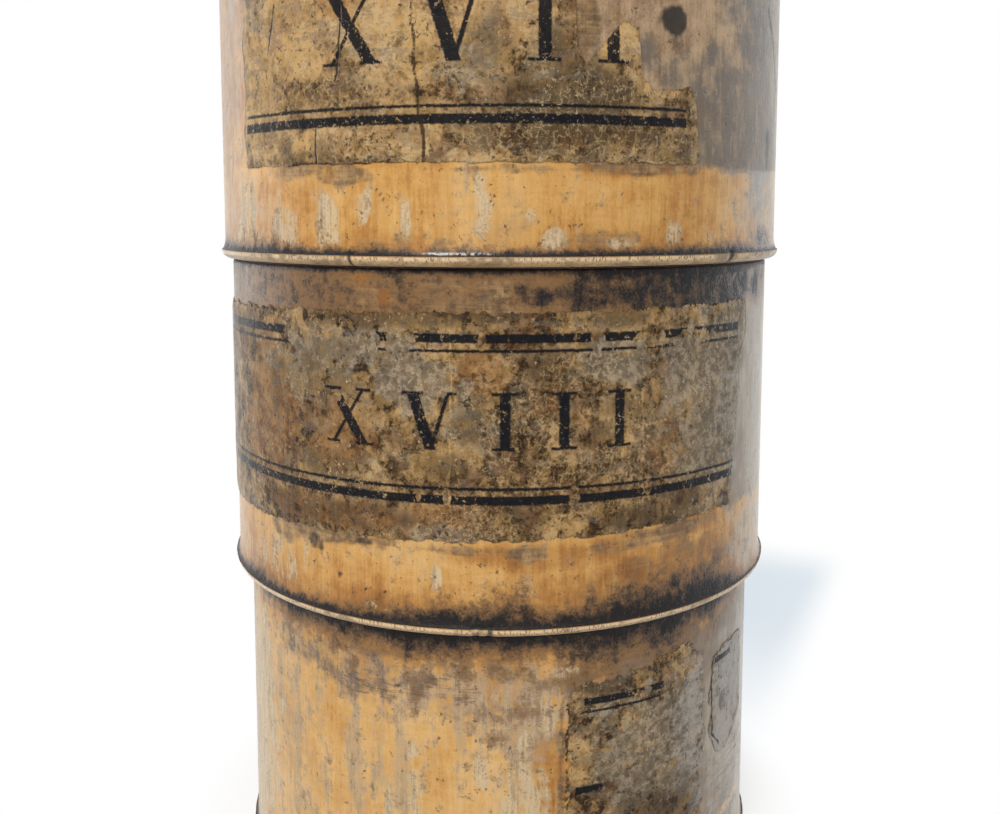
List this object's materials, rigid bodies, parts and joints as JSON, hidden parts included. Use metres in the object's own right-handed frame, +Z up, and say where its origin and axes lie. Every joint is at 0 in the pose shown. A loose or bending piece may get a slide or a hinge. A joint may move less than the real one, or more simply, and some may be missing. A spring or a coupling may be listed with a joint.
{
  "type": "spice tower",
  "caption": "Tower of turned wooden cups that screw onto one another under a domed lid, with worn paper labels; each cup holds a dry spice and closes the cup below.",
  "frame": {"origin": "centre of the foot, on the plane that the tower stands on", "axes": "+Z up the axis of the tower, -Y out of the labelled front, +X to the right of someone facing the labels"},
  "size_m": [0.073, 0.073, 0.1776],
  "materials": {
    "turned_wood": "aged golden varnish with grime, worn pale on the rims",
    "floor_wood": "bare turned wood, stained by spice",
    "label_paper": "brown varnished paper with printed rules, crazed and torn"
  },
  "bodies": {
    "tier_1": {"tier_1_cup": "turned_wood", "tier_1_floor": "floor_wood", "tier_1_label": "label_paper", "tier_1_flake": "label_paper"},
    "floor_2": {"tier_2_floor": "floor_wood"},
    "tier_2": {"tier_2_cup": "turned_wood", "tier_2_label": "label_paper"},
    "floor_3": {"tier_3_floor": "floor_wood"},
    "tier_3": {"tier_3_cup": "turned_wood", "tier_3_label": "label_paper"},
    "floor_4": {"tier_4_floor": "floor_wood"},
    "tier_4": {"tier_4_cup": "turned_wood", "tier_4_label": "label_paper"},
    "button": {"lid_button": "turned_wood"},
    "lid": {"lid_cap": "turned_wood"}
  },
  "joints": [
    {"name": "tier_2_lift", "type": "slide", "parent": "tier_1", "child": "floor_2", "axis": [0, 0, 1], "range_m": [0, 0.01]},
    {"name": "tier_2_turn", "type": "hinge", "parent": "floor_2", "child": "tier_2", "pos_m": [0, 0, 0.04], "axis": [0, 0, 1], "range_deg": [0, 900]},
    {"name": "tier_3_lift", "type": "slide", "parent": "tier_2", "child": "floor_3", "axis": [0, 0, 1], "range_m": [0, 0.01]},
    {"name": "tier_3_turn", "type": "hinge", "parent": "floor_3", "child": "tier_3", "pos_m": [0, 0, 0.08], "axis": [0, 0, 1], "range_deg": [0, 900]},
    {"name": "tier_4_lift", "type": "slide", "parent": "tier_3", "child": "floor_4", "axis": [0, 0, 1], "range_m": [0, 0.01]},
    {"name": "tier_4_turn", "type": "hinge", "parent": "floor_4", "child": "tier_4", "pos_m": [0, 0, 0.12], "axis": [0, 0, 1], "range_deg": [0, 900]},
    {"name": "lid_lift", "type": "slide", "parent": "tier_4", "child": "button", "axis": [0, 0, 1], "range_m": [0, 0.01]},
    {"name": "lid_turn", "type": "hinge", "parent": "button", "child": "lid", "pos_m": [0, 0, 0.16], "axis": [0, 0, 1], "range_deg": [0, 900]}
  ],
  "couplings": [
    {"joint": "tier_2_lift", "follows": "tier_2_turn", "m_per_rad": 0.00063662},
    {"joint": "tier_3_lift", "follows": "tier_3_turn", "m_per_rad": 0.00063662},
    {"joint": "tier_4_lift", "follows": "tier_4_turn", "m_per_rad": 0.00063662},
    {"joint": "lid_lift", "follows": "lid_turn", "m_per_rad": 0.00063662}
  ]
}
